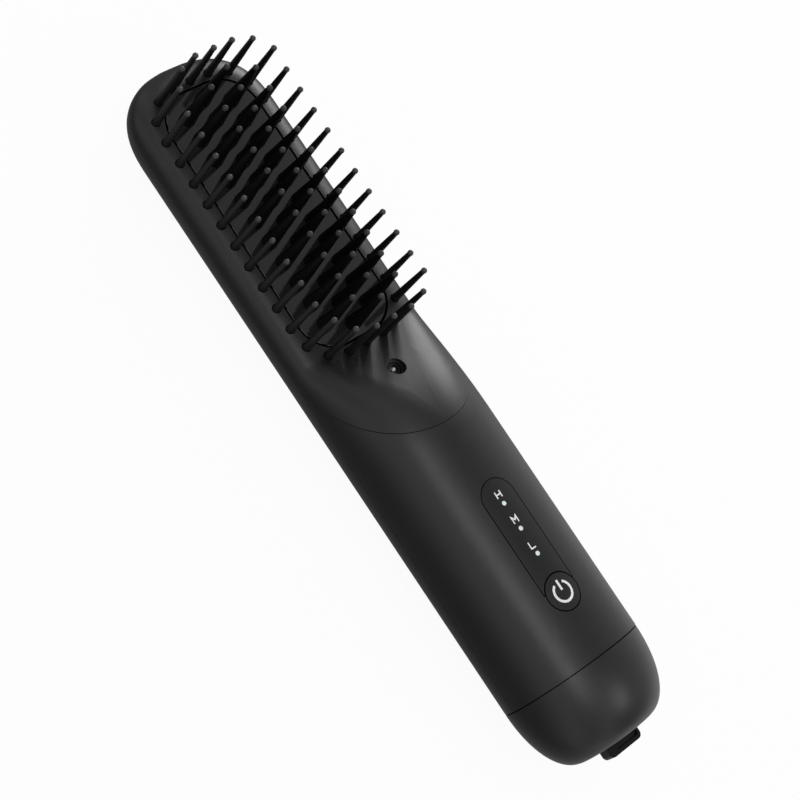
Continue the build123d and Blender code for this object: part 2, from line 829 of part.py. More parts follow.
button_flange_z = board_top_z + switch_height + button_travel + button_spare
with BuildPart() as switch_plunger:
    plunger_z = board_top_z + switch_height - plunger_depth
    add(round_bar(plunger_diameter / 2, button_flange_z - plunger_z, plunger_z, (0, button_y)))
switch_plunger.part.label = "switch_plunger"
export_step(switch_plunger.part, "parts/switch_plunger.step")

# Light pipes, from just above each lamp to the surface of the panel
inner_crown_z = front_z - wall - seat_clearance
for name, place in zip(("low", "medium", "high"), led_places):
    with BuildPart() as light_pipe:
        foot_z = inner_crown_z - light_pipe_foot_thickness
        rod_z = board_top_z + led_height + screw_play
        add(round_bar(light_pipe_diameter / 2, front_z - rod_z, rod_z, place))
        add(round_bar(light_pipe_foot / 2, light_pipe_foot_thickness, foot_z, place))
    light_pipe.part.label = f"light_pipe_{name}"
    export_step(light_pipe.part, f"parts/light_pipe_{name}.step")

# Control panel: a long rounded inlay that stops at the button
oval = handle_bar(0)


def panel_outline(margin):
    """Outline of the panel or of its pocket, cut round the button."""
    with BuildSketch(level(axis_z)) as outline:
        reach = panel_reach - panel_width / 2
        with Locations((0, button_y + reach)):
            Circle(panel_width / 2 + margin)
        with Locations((0, button_y + (panel_horn - margin + reach) / 2)):
            Rectangle(panel_width + 2 * margin, reach - panel_horn + margin)
        with Locations((0, button_y)):
            Circle(button_diameter / 2 + running_clearance, mode=Mode.SUBTRACT)
    return outline.sketch


def letter(name, y):
    """One heat-setting letter as strokes of even width, upright with the head up."""
    left, right = -letter_width / 2, letter_width / 2
    low, high = y - letter_height / 2, y + letter_height / 2
    with BuildSketch(level(axis_z)) as strokes:
        with BuildLine():
            if name == "low":
                Polyline((left, high), (left, low), (right, low))
            elif name == "medium":
                Polyline((left, low), (left, high), (0, y), (right, high), (right, low))
            else:
                Line((left, low), (left, high))
                Line((right, low), (right, high))
                Line((left, y), (right, y))
        trace(line_width=letter_stroke)
    return strokes.sketch


with BuildPart() as heat_letters:
    for name, (x, y) in zip(("low", "medium", "high"), led_places):
        extrude(letter(name, y + letter_from_led), amount=2 * half_depth)
    add(oval, mode=Mode.INTERSECT)
    add(handle_bar(mark_depth), mode=Mode.SUBTRACT)
heat_letters.part.label = "heat_letters"
export_step(heat_letters.part, "parts/heat_letters.step")

with BuildPart() as control_panel:
    extrude(panel_outline(0), amount=2 * half_depth)
    add(oval, mode=Mode.INTERSECT)
    add(handle_bar(panel_thickness), mode=Mode.SUBTRACT)
    add(heat_letters.part, mode=Mode.SUBTRACT)
    pipe_hole = light_pipe_diameter / 2 + screw_play
    add(round_bar(pipe_hole, 2 * half_depth, axis_z, *led_places), mode=Mode.SUBTRACT)
control_panel.part.label = "control_panel"
export_step(control_panel.part, "parts/control_panel.step")

# Power button with its inlaid symbol
with BuildPart() as power_icon:
    with BuildSketch(level(axis_z)):
        with BuildLine():
            CenterArc((0, button_y), icon_radius, 90 + icon_gap_angle / 2, 360 - icon_gap_angle)
        trace(line_width=icon_stroke)
        with BuildLine():
            Line((0, button_y + icon_bar_low), (0, button_y + icon_bar_low + icon_bar))
        trace(line_width=icon_stroke)
    extrude(amount=2 * half_depth)
    add(oval, mode=Mode.INTERSECT)
    add(handle_bar(mark_depth), mode=Mode.SUBTRACT)
power_icon.part.label = "power_icon"
export_step(power_icon.part, "parts/power_icon.step")

with BuildPart() as power_button:
    add(round_bar(button_diameter / 2, half_depth, button_flange_z, (0, button_y)))
    add(oval, mode=Mode.INTERSECT)
    add(power_icon.part, mode=Mode.SUBTRACT)
    add(round_bar(button_flange / 2, button_flange_thickness, button_flange_z, (0, button_y)))
power_button.part.label = "power_button"
export_step(power_button.part, "parts/power_button.step")

# Front shell of the handle, with its board posts and snap tabs
snap_x = half_width - wall - snap_inset - snap_thickness / 2
snap_y = cap_seam_y + collar_reach + snap_length
snap_places = [(side * snap_x, snap_y + snap_pitch * row) for side in (-1, 1) for row in range(snap_tabs)]

with BuildPart() as shell_posts:
    add(round_bar(board_post_diameter / 2, half_depth, board_top_z, *board_screw_places))
    with BuildSketch(level(axis_z)):
        with Locations(*snap_places):
            Rectangle(snap_thickness, snap_length)
    extrude(amount=snap_root)
    add(outer_front, mode=Mode.INTERSECT)
    with BuildSketch(level(axis_z)):
        with Locations(*snap_places):
            Rectangle(snap_thickness, snap_length)
    extrude(amount=-snap_reach)
    add(round_bar(board_bore, board_screw_length, board_bottom_z, *board_screw_places), mode=Mode.SUBTRACT)

with BuildPart() as front_wall:
    add(outer_front)
    add(inner_front, mode=Mode.SUBTRACT)
    add(handle_side_of_seam(cover_gap), mode=Mode.INTERSECT)
    split(bisect_by=level(axis_z + parting_gap / 2), keep=Keep.TOP)
    split(bisect_by=Plane((0, cap_seam_y + cap_gap / 2, 0), z_dir=(0, 1, 0)), keep=Keep.TOP)
with BuildPart() as panel_pocket:
    extrude(panel_outline(panel_gap), amount=half_depth + wall)
    add(handle_bar(panel_thickness), mode=Mode.SUBTRACT)
with BuildPart() as handle_front_shell:
    add(front_wall.part)
    add(shell_posts.part)
    add(panel_pocket.part, mode=Mode.SUBTRACT)
    hole = button_diameter / 2 + running_clearance
    add(round_bar(hole, half_depth, button_flange_z, (0, button_y)), mode=Mode.SUBTRACT)
    add(round_bar(pipe_hole, half_depth, board_top_z, *led_places), mode=Mode.SUBTRACT)
handle_front_shell.part.label = "handle_front_shell"
export_step(handle_front_shell.part, "parts/handle_front_shell.step")

# Chips on the control board, beside the lamps
with BuildPart() as control_chips:
    with BuildSketch(level(board_top_z)):
        chip_x = (board_width - chip_size) / 2 - board_corner / 2
        with Locations((-chip_x, led_places[0][1]), (chip_x, led_places[1][1])):
            Rectangle(chip_size, chip_size)
    extrude(amount=chip_thickness)
    chamfer(control_chips.edges().group_by(Axis.Z)[-1], length=chip_chamfer)
control_chips.part.label = "control_chips"
export_step(control_chips.part, "parts/control_chips.step")

# Battery: a round cell in a cradle, with welded strips and a foam pad under the board
cell_tail_y = cap_seam_y + cell_from_cap
cell_head_y = cell_tail_y + cell_length
cell_y = (cell_tail_y + cell_head_y) / 2
cell_z = axis_z - cell_drop
cell_plane = Plane(origin=(0, cell_tail_y, cell_z), x_dir=(1, 0, 0), z_dir=(0, 1, 0))

with BuildPart() as battery_cell:
    with BuildSketch(cell_plane):
        Circle(cell_diameter / 2)
    extrude(amount=cell_length)
    fillet(battery_cell.edges().filter_by(GeomType.CIRCLE), radius=cell_edge)
battery_cell.part.label = "battery_cell"
export_step(battery_cell.part, "parts/battery_cell.step")

with BuildPart() as battery_cradle:
    add(oval_bar(wall + seat_clearance, wall + seat_clearance))
    split(bisect_by=level(wall + seat_clearance + cradle_height), keep=Keep.BOTTOM)
    tail_cut = Plane((0, cell_tail_y - tab_strip - cradle_end, 0), z_dir=(0, 1, 0))
    head_cut = Plane((0, cell_head_y + tab_strip + cradle_end, 0), z_dir=(0, 1, 0))
    split(bisect_by=tail_cut, keep=Keep.TOP)
    split(bisect_by=head_cut, keep=Keep.BOTTOM)
    with BuildSketch(cell_plane.offset(-tab_strip - seat_clearance)):
        Circle(cell_diameter / 2 + seat_clearance)
    extrude(amount=cell_length + 2 * (tab_strip + seat_clearance), mode=Mode.SUBTRACT)
battery_cradle.part.label = "battery_cradle"
export_step(battery_cradle.part, "parts/battery_cradle.step")

with BuildPart() as battery_tabs:
    for y, direction in ((cell_tail_y, -1), (cell_head_y, 1)):
        with BuildSketch(Plane(origin=(0, y, cell_z), x_dir=(1, 0, 0), z_dir=(0, direction, 0))):
            RectangleRounded(tab_strip_width, tab_strip_height, tab_strip_corner)
        extrude(amount=tab_strip)
battery_tabs.part.label = "battery_tabs"
export_step(battery_tabs.part, "parts/battery_tabs.step")

with BuildPart() as battery_foam:
    cell_top_z = cell_z + cell_diameter / 2
    with BuildSketch(level(cell_top_z)):
        with Locations((0, board_y)):
            RectangleRounded(foam_width, foam_length, foam_corner)
    extrude(amount=board_bottom_z - cell_top_z)
battery_foam.part.label = "battery_foam"
export_step(battery_foam.part, "parts/battery_foam.step")

# Charging board and socket, on a shelf in the end cap
socket_bottom_z = axis_z - socket_height / 2
cap_inner_y = end_y + wall
charge_board_tail_y = cap_inner_y + seat_clearance + socket_shell * 2
charge_board_head_y = charge_board_tail_y + charge_board_length
socket_plane = Plane(
    origin=(0, cap_inner_y + seat_clearance, axis_z), x_dir=(1, 0, 0), z_dir=(0, 1, 0)
)

with BuildPart() as charge_board:
    with BuildSketch(level(socket_bottom_z)):
        with Locations((0, (charge_board_tail_y + charge_board_head_y) / 2)):
            Rectangle(charge_board_width, charge_board_length)
    extrude(amount=-charge_board_thickness)
charge_board.part.label = "charge_board"
export_step(charge_board.part, "parts/charge_board.step")

with BuildPart() as usb_socket:
    socket_round = socket_height * socket_rounding_share
    with BuildSketch(socket_plane):
        RectangleRounded(socket_width, socket_height, socket_round)
    extrude(amount=socket_length)
    with BuildSketch(socket_plane):
        RectangleRounded(
            socket_width - 2 * socket_shell, socket_height - 2 * socket_shell, socket_round - socket_shell
        )
    extrude(amount=socket_length - socket_shell, mode=Mode.SUBTRACT)
    with BuildSketch(socket_plane.offset(socket_length)):
        Rectangle(socket_tongue_width, socket_tongue_thickness)
    extrude(amount=-(socket_length - socket_shell * 2))
usb_socket.part.label = "usb_socket"
export_step(usb_socket.part, "parts/usb_socket.step")


def oval_slab(y, length, inset, floor_z):
    """Solid oval bar running forward from y, with its underside cut flat at floor_z."""
    with BuildPart() as slab:
        with BuildSketch(upright(y)):
            Ellipse(half_width - inset, half_depth - inset)
        extrude(amount=-length)
        split(bisect_by=level(floor_z), keep=Keep.TOP)
    return slab.part


# End cap: domed, with a dish round the port and a collar that clips into the shells
collar_inset = wall + seat_clearance
collar_inner = collar_inset + collar_wall
cap_front_y = cap_seam_y - cap_gap / 2
collar_end_y = cap_seam_y + collar_reach
root_y = cap_front_y - collar_root
end_plane = Plane(origin=(0, end_y, axis_z), x_dir=(1, 0, 0), z_dir=(0, 1, 0))

with BuildPart() as cap_hollow:
    add(cap_form(wall))
    split(bisect_by=Plane((0, root_y, 0), z_dir=(0, 1, 0)), keep=Keep.BOTTOM)
    with BuildSketch(level(socket_bottom_z - charge_board_thickness)):
        with Locations((0, end_y)):
            Rectangle(body_width, wall + shelf_length, align=(Align.CENTER, Align.MIN))
    extrude(amount=-shelf_thickness, mode=Mode.SUBTRACT)
with BuildPart() as end_cap:
    add(cap_form(0))
    split(bisect_by=Plane((0, cap_front_y, 0), z_dir=(0, 1, 0)), keep=Keep.BOTTOM)
    add(cap_hollow.part, mode=Mode.SUBTRACT)
    collar_y = cap_front_y - collar_root / 2
    add(oval_slab(collar_y, collar_end_y - collar_y, collar_inset, collar_inset))
    bore_y = root_y - collar_root / 2
    add(
        oval_slab(bore_y, collar_end_y - bore_y, collar_inner, collar_inner),
        mode=Mode.SUBTRACT,
    )
    with BuildSketch(end_plane):
        SlotOverall(dish_width, dish_height)
    extrude(amount=dish_depth, mode=Mode.SUBTRACT)
    with BuildSketch(end_plane):
        SlotOverall(port_width, port_height)
    extrude(amount=wall + seat_clearance, mode=Mode.SUBTRACT)
end_cap.part.label = "end_cap"
export_step(end_cap.part, "parts/end_cap.step")

# Port plug: rubber flange in the dish, a tongue in the socket and a tab to pull it by
flange_y = end_y + dish_depth
plug_plane = Plane(origin=(0, flange_y, axis_z), x_dir=(1, 0, 0), z_dir=(0, 1, 0))
with BuildPart() as port_plug:
    with BuildSketch(plug_plane):
        SlotOverall(plug_flange_width, plug_flange_height)
    extrude(amount=-plug_flange_thickness)
    with BuildSketch(plug_plane):
        SlotOverall(port_width - 2 * plug_clearance, port_height - 2 * plug_clearance)
    extrude(amount=wall - dish_depth)
    with BuildSketch(plug_plane):
        RectangleRounded(tongue_width, tongue_height, tongue_height * socket_rounding_share)
        slot_width = socket_tongue_width + 2 * plug_clearance
        Rectangle(slot_width, socket_tongue_thickness + 2 * plug_clearance, mode=Mode.SUBTRACT)
    extrude(amount=tongue_length)
    with BuildSketch(level(axis_z - tab_thickness / 2)):
        with Locations((0, end_y - tab_reach)):
            Rectangle(tab_width, tab_reach + dish_depth / 2, align=(Align.CENTER, Align.MIN))
    extrude(amount=tab_thickness)
    tab_edges = port_plug.edges().filter_by(Axis.Z).group_by(Axis.Y)[0]
    fillet(tab_edges, radius=tab_corner)
    with BuildSketch(level(axis_z + tab_thickness / 2)):
        with Locations((nail_groove_x, end_y - tab_reach / 2)):
            SlotOverall(nail_groove_width, nail_groove)
    extrude(amount=-nail_groove_depth, mode=Mode.SUBTRACT)
port_plug.part.label = "port_plug"
export_step(port_plug.part, "parts/port_plug.step")

# Leads: heater to control board, charging board to control board, and both ends of the cell
lead_radius = lead_diameter / 2
with BuildPart() as heater_leads:
    for x in heater_lead_places:
        add(
            lead(
                x,
                heater_lead_bend,
                (heater_end_y, lead_z),
                (neck_screw_y, lead_z),
                (cell_head_y - lead_radius, board_mid_z),
                (board_head_y, board_mid_z),
            )
        )
heater_leads.part.label = "heater_leads"
export_step(heater_leads.part, "parts/heater_leads.step")

with BuildPart() as charge_leads:
    charge_lead_y = cell_tail_y - tab_strip - cradle_end - cap_length / 2
    for x in (-charge_lead_x, charge_lead_x):
        add(
            lead(
                x,
                heater_lead_bend,
                (charge_lead_y, socket_bottom_z),
                (charge_lead_y, board_mid_z),
                (board_tail_y, board_mid_z),
            )
        )
charge_leads.part.label = "charge_leads"
export_step(charge_leads.part, "parts/charge_leads.step")

with BuildPart() as battery_leads:
    reach = tab_strip + lead_bend + lead_radius + seat_clearance
    for end_of_cell, board_end, out in ((cell_tail_y, board_tail_y, -1), (cell_head_y, board_head_y, 1)):
        add(
            lead(
                0,
                lead_bend,
                (end_of_cell + out * tab_strip, cell_z + lead_rise),
                (end_of_cell + out * reach, cell_z + lead_rise),
                (end_of_cell + out * reach, board_mid_z),
                (board_end, board_mid_z),
            )
        )
battery_leads.part.label = "battery_leads"
export_step(battery_leads.part, "parts/battery_leads.step")
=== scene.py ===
"""Dressed model of a cordless hot comb: an oval handle, a bristled head and a heated comb plate.

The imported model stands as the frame, in metres. Each section below takes one piece of the comb,
in the order in which it goes together, and gives it its surface.
"""
import math

import bpy
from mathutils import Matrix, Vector


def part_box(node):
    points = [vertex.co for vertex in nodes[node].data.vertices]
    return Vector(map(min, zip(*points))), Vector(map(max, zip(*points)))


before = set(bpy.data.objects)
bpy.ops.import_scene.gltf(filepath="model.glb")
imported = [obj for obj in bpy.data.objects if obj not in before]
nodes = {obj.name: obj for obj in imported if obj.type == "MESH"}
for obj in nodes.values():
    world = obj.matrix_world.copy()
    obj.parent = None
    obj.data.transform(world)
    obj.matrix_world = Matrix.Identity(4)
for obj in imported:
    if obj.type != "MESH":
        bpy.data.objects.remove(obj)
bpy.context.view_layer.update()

# Floor.
# A pale matt sheet under the comb. The eye sees it as white, and it still takes the comb's soft
# shadow. The comb's gloss sees a glow instead, painted dim as shade under and to the left of the
# comb, and brightening towards the right.
floor_span = 6.0
bpy.ops.object.select_all(action="DESELECT")
bpy.ops.mesh.primitive_plane_add(size=floor_span, location=(0, 0, 0))
floor = bpy.context.object
floor.name = "floor"


def add_node(tree, kind, inputs=None, **settings):
    """A shader node with its properties set, and its inputs set or linked by name or number."""
    node = tree.nodes.new(kind)
    for name, value in settings.items():
        setattr(node, name, value)
    for name, value in (inputs or {}).items():
        if isinstance(value, bpy.types.NodeSocket):
            tree.links.new(value, node.inputs[name])
        else:
            node.inputs[name].default_value = value
    return node


def maths(tree, operation, *values):
    """One sum on numbers or on sockets that give numbers."""
    return add_node(tree, "ShaderNodeMath", dict(enumerate(values)), operation=operation).outputs[0]


def vector_maths(tree, operation, *values):
    """One sum on places or directions, which gives a vector, or a number where the sum does."""
    node = add_node(tree, "ShaderNodeVectorMath", dict(enumerate(values)), operation=operation)
    return node.outputs["Value" if operation in ("DOT_PRODUCT", "LENGTH") else "Vector"]


def between(tree, factor, first, second):
    """A number between two others: the first where the factor is 0, the second where it is 1."""
    return add_node(tree, "ShaderNodeMix", {0: factor, 2: first, 3: second}).outputs[0]


def ramp(tree, value, start, end, low=0.0, high=1.0):
    """Turns a value into low at the start and high at the end, straight in between, level outside."""
    limits = {"Value": value, "From Min": start, "From Max": end, "To Min": low, "To Max": high}
    return add_node(tree, "ShaderNodeMapRange", limits).outputs[0]


def place_on(tree):
    """The place on the piece, in the comb's own frame."""
    return add_node(tree, "ShaderNodeTexCoord").outputs["Object"]


def new_finish(name, colour, roughness):
    """A finish with its shader set to an even colour, ready for the detail of its own section."""
    material = bpy.data.materials.new(name)
    material.use_nodes = True
    shader = material.node_tree.nodes["Principled BSDF"]
    shader.inputs["Base Color"].default_value = (*colour, 1)
    shader.inputs["Roughness"].default_value = roughness
    return material, shader


def dress(material, *pieces):
    """Gives each piece one material all over."""
    for piece in pieces:
        piece.data.materials.clear()
        piece.data.materials.append(material)


paper_white, paper_roughness = (0.9, 0.9, 0.9), 0.9
white_share = 0.95      # how much of the floor's light to the eye is plain white
near_shade_tone, right_tone = 0.22, 0.9       # how bright the comb's gloss sees the floor
near_reach, right_reach = 0.02, 0.13        # how far out each of these tones is reached
bright_side = (0.85, -0.6, 0.0)     # to the right of the comb and past its charging end
floor_paper, floor_shader = new_finish("floor_paper", paper_white, paper_roughness)
tree = floor_paper.node_tree
rays = add_node(tree, "ShaderNodeLightPath").outputs
clear = maths(tree, "MAXIMUM", rays["Is Camera Ray"], rays["Is Transmission Ray"])
outwards = vector_maths(tree, "DOT_PRODUCT", place_on(tree), bright_side)
# The glow that gloss sees is painted dim under and to the left of the comb, as the comb's shade on the
# floor.
gloss_tone = ramp(tree, outwards, near_reach, right_reach, near_shade_tone, right_tone)
glow_strength = between(tree, rays["Is Glossy Ray"], 1.0, gloss_tone)
glow = add_node(tree, "ShaderNodeEmission", {"Color": (1, 1, 1, 1), "Strength": glow_strength})
glow_share = maths(tree, "MAXIMUM", maths(tree, "MULTIPLY", clear, white_share), rays["Is Glossy Ray"])
layers = {0: glow_share, 1: floor_shader.outputs[0], 2: glow.outputs[0]}
paper = add_node(tree, "ShaderNodeMixShader", layers).outputs[0]
tree.links.new(paper, tree.nodes["Material Output"].inputs["Surface"])
dress(floor_paper, floor)

# Rear shell.
# The whole back half of the body, injection moulded in charcoal plastic with a fine spark-eroded
# texture. The front pieces, the end cap and the heater tray's props all meet it.
mm = 0.001


def new_effect(name, inputs, outputs):
    """A shared effect as a node group, with its input and output nodes. All sockets hold numbers."""
    group = bpy.data.node_groups.new(name, "ShaderNodeTree")
    for socket, value in inputs.items():
        entry = group.interface.new_socket(socket, in_out="INPUT", socket_type="NodeSocketFloat")
        entry.default_value = value
    for socket in outputs:
        group.interface.new_socket(socket, in_out="OUTPUT", socket_type="NodeSocketFloat")
    return group, group.nodes.new("NodeGroupInput").outputs, group.nodes.new("NodeGroupOutput").inputs


def use_effect(tree, group, **inputs):
    """Places a shared effect in a material, with this material's own values."""
    node = tree.nodes.new("ShaderNodeGroup")
    node.node_tree = group
    for name, value in inputs.items():
        node.inputs[name.capitalize()].default_value = value
    return node.outputs


def noise(tree, place, scale, detail, roughness=0.5):
    """Soft random patches, so many to the metre."""
    texture = {"Vector": place, "Scale": scale, "Detail": detail, "Roughness": roughness}
    return add_node(tree, "ShaderNodeTexNoise", texture).outputs[0]


# Grain as a mould leaves it: a fine height, a tone that drifts over the piece, and a roughness
# that varies in soft patches round its middle value.
drift_scale, patch_scale = 60.0, 240.0
grain, grain_in, grain_out = new_effect(
    "moulded_grain",
    {"Size": 0.3 * mm, "Roughness": 0.4, "Patchiness": 0.06},
    ["Height", "Tone", "Roughness"],
)
place = place_on(grain)
fine_scale = maths(grain, "DIVIDE", 1.0, grain_in["Size"])
grain.links.new(noise(grain, place, fine_scale, 3.0, roughness=0.6), grain_out["Height"])
grain.links.new(noise(grain, place, drift_scale, 2.0), grain_out["Tone"])
swing = maths(grain, "SUBTRACT", noise(grain, place, patch_scale, 4.0), 0.5)
patchy = maths(grain, "MULTIPLY_ADD", swing, grain_in["Patchiness"], grain_in["Roughness"])
grain.links.new(patchy, grain_out["Roughness"])


def sharpness(tree, width, samples, faint, full):
    """0 where the surface is flat or gently curved, 1 where it turns sharply within the width.

    The true normal is compared with one that is rounded over the width. Faint and full are the
    likenesses of the two at which the mask starts and is whole.
    """
    rounded = add_node(tree, "ShaderNodeBevel", {"Radius": width}, samples=samples).outputs[0]
    true_normal = add_node(tree, "ShaderNodeNewGeometry").outputs["Normal"]
    return ramp(tree, vector_maths(tree, "DOT_PRODUCT", rounded, true_normal), faint, full)


# Edge rub: where a piece turns sharply, hands and hair polish it, more in some places than others.
rub, rub_in, rub_out = new_effect("edge_rub", {"Width": 0.3 * mm, "Breakup": 300.0}, ["Mask"])
turned = sharpness(rub, rub_in["Width"], samples=4, faint=0.92, full=0.7)
worn = maths(rub, "MULTIPLY", turned, noise(rub, place_on(rub), rub_in["Breakup"], 3.0))
rub.links.new(worn, rub_out["Mask"])


def paint_over(shader, mask, colour):
    """Lays a colour over a finish that already has its tones, where the mask is 1."""
    tree = shader.id_data
    under = shader.inputs["Base Color"].links[0].from_socket
    layers = {"Factor": mask, "A": under, "B": (*colour, 1)}
    painted = add_node(tree, "ShaderNodeMix", layers, data_type="RGBA").outputs["Result"]
    tree.links.new(painted, shader.inputs["Base Color"])


def grained_finish(name, dark, light, roughness, patchiness=0.06, size=0.3 * mm, depth=0.02, rubbed=None):
    """A moulded or cast finish: two tones, patchy roughness, fine bump and, if given, rubbed edges."""
    material, shader = new_finish(name, dark, roughness)
    tree = material.node_tree
    texture = use_effect(tree, grain, size=size, roughness=roughness, patchiness=patchiness)
    tones = {"Factor": texture["Tone"], "A": (*dark, 1), "B": (*light, 1)}
    drifting = add_node(tree, "ShaderNodeMix", tones, data_type="RGBA").outputs["Result"]
    tree.links.new(drifting, shader.inputs["Base Color"])
    if rubbed:
        paint_over(shader, use_effect(tree, rub)["Mask"], rubbed)
    relief = {"Height": texture["Height"], "Strength": depth, "Distance": size}
    tree.links.new(add_node(tree, "ShaderNodeBump", relief).outputs[0], shader.inputs["Normal"])
    tree.links.new(texture["Roughness"], shader.inputs["Roughness"])
    return material, shader


shell_plastic, _ = grained_finish(
    "shell_plastic",
    dark=(0.0048, 0.0048, 0.0049),
    light=(0.0066, 0.0066, 0.0068),
    roughness=0.38,
    rubbed=(0.016, 0.016, 0.016),
)
dress(shell_plastic, nodes["rear_shell"])

# Heater tray.
# A trough of pale heat-resistant resin under the comb plate. It carries the heater stack, and its
# flange holds up the pin ring.
tray_resin, _ = grained_finish(
    "tray_resin",
    dark=(0.62, 0.58, 0.47),
    light=(0.72, 0.68, 0.57),
    roughness=0.55,
    rubbed=(0.8, 0.77, 0.68),
)
dress(tray_resin, nodes["heater_tray"])

# Clamp plate and electrodes.
# Rolled aluminium sheet, cut to size. It shows the mill's fine lines along the comb.
line_roughness = 0.2        # how much rougher the lines are than the sheet between them
rolled, rolled_in, rolled_out = new_effect(
    "rolling_lines", {"Across": 3000.0, "Along": 60.0, "Roughness": 0.3}, ["Height", "Roughness"]
)
closeness = {"X": rolled_in["Across"], "Y": rolled_in["Along"]}
stretch = add_node(rolled, "ShaderNodeCombineXYZ", closeness).outputs[0]
lines = noise(rolled, vector_maths(rolled, "MULTIPLY", place_on(rolled), stretch), 1.0, 3.0)
rolled.links.new(lines, rolled_out["Height"])
lined = maths(rolled, "MULTIPLY_ADD", lines, line_roughness, rolled_in["Roughness"])
rolled.links.new(lined, rolled_out["Roughness"])


def rolled_metal(name, colour, roughness, along=60.0):
    """Bare sheet metal with lines left by rolling or plating."""
    material, shader = new_finish(name, colour, roughness)
    shader.inputs["Metallic"].default_value = 1.0
    tree = material.node_tree
    texture = use_effect(tree, rolled, roughness=roughness, along=along)
    relief = {"Height": texture["Height"], "Strength": 0.1, "Distance": 0.1 * mm}
    tree.links.new(add_node(tree, "ShaderNodeBump", relief).outputs[0], shader.inputs["Normal"])
    tree.links.new(texture["Roughness"], shader.inputs["Roughness"])
    return material


sheet_aluminium = rolled_metal("sheet_aluminium", (0.72, 0.73, 0.75), roughness=0.25)
dress(sheet_aluminium, nodes["clamp_plate"], nodes["heater_electrodes"])

# Insulating film.
# Thin amber polyimide film with a glossy face. It parts the live electrodes from the metal round
# them, and is laid in with the heater stack.
film_amber, film_shader = grained_finish(
    "film_amber", dark=(0.5, 0.2, 0.02), light=(0.62, 0.29, 0.04), roughness=0.18, size=1.0 * mm
)
film_shader.inputs["Coat Weight"].default_value = 0.5
dress(film_amber, nodes["insulating_film"])

# Ceramic heaters.
# Three pressed and sintered tiles that limit their own heat, matt and a little grainy.
ceramic, _ = grained_finish(
    "ceramic", dark=(0.33, 0.29, 0.24), light=(0.46, 0.41, 0.33), roughness=0.7, size=0.15 * mm, depth=0.3
)
dress(ceramic, nodes["ptc_heater"])

# Tray screws and board screws.
# Small zinc-plated pan-head screws, with the fine marks that plating leaves.
plating_marks = 3000.0      # as fine along the comb as across it
screw_steel = rolled_metal("screw_steel", (0.56, 0.56, 0.57), roughness=0.28, along=plating_marks)
dress(screw_steel, nodes["tray_screws"], nodes["board_screws"])

# Thermal fuse and temperature sensor.
# A glazed tube and a glazed bead, pressed against the underside of the comb plate.
fuse_glaze, glaze_shader = grained_finish(
    "fuse_glaze", dark=(0.6, 0.58, 0.52), light=(0.74, 0.72, 0.66), roughness=0.25, size=0.5 * mm
)
glaze_shader.inputs["Coat Weight"].default_value = 0.8
dress(fuse_glaze, nodes["thermal_fuse"], nodes["temperature_sensor"])

# Comb plate.
# Aluminium with a glossy charcoal ceramic coat, in which paler grains show up close. It stands
# flush in the opening of the head cover, and heats the teeth.
speckle, speckle_in, speckle_out = new_effect("coat_speckle", {"Grains": 4000.0, "Share": 0.25}, ["Mask"])
cells = {"Vector": place_on(speckle), "Scale": speckle_in["Grains"]}
from_grain = add_node(speckle, "ShaderNodeTexVoronoi", cells).outputs["Distance"]
speckle.links.new(ramp(speckle, from_grain, speckle_in["Share"], 0.0), speckle_out["Mask"])


def place_parts(tree):
    """The place on the piece, taken apart into X, Y and Z."""
    return add_node(tree, "ShaderNodeSeparateXYZ", {0: place_on(tree)}).outputs


plate_coating, plate_shader = grained_finish(
    "plate_coating",
    dark=(0.009, 0.009, 0.0092),
    light=(0.012, 0.012, 0.0122),
    roughness=0.05,
    rubbed=(0.12, 0.12, 0.12),
)
plate_shader.inputs["Specular IOR Level"].default_value = 0.75
grain_grey = (0.035, 0.035, 0.035)
tree = plate_coating.node_tree
paint_over(plate_shader, use_effect(tree, speckle)["Mask"], grain_grey)

# Down in the narrow gap round the plate its wall gets no light, so it is black and, being painted
# as a black metal, has no reflection.
black = (0, 0, 0)
lit_depth = 0.12 * mm
plate_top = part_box("heating_plate")[1][2]
in_gap = maths(tree, "LESS_THAN", place_parts(tree)["Z"], plate_top - lit_depth)
paint_over(plate_shader, in_gap, black)
tree.links.new(in_gap, plate_shader.inputs["Metallic"])
dress(plate_coating, nodes["heating_plate"])

# Heated teeth.
# Tapered aluminium teeth in a black coat with a slight orange peel. The small ball at each tip is
# painted a paler grey.
tip_ball = 1.1 * mm
tip_grey = (0.04, 0.04, 0.041)


def paler_tip(shader, height, tip_z):
    """Paints the ball at the tip of each pin or tooth."""
    drop = maths(shader.id_data, "SUBTRACT", tip_z, height)
    ball = ramp(shader.id_data, drop, tip_ball * 1.05, tip_ball * 0.95)
    paint_over(shader, ball, tip_grey)


tooth_coating, tooth_shader = grained_finish(
    "tooth_coating",
    dark=(0.002, 0.002, 0.0021),
    light=(0.003, 0.003, 0.0031),
    roughness=0.42,
    size=0.6 * mm,
    depth=0.01,
)
tooth_shader.inputs["Specular IOR Level"].default_value = 0.22
tooth_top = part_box("heated_teeth")[1][2]
paler_tip(tooth_shader, place_parts(tooth_coating.node_tree)["Z"], tooth_top)
dress(tooth_coating, nodes["heated_teeth"])

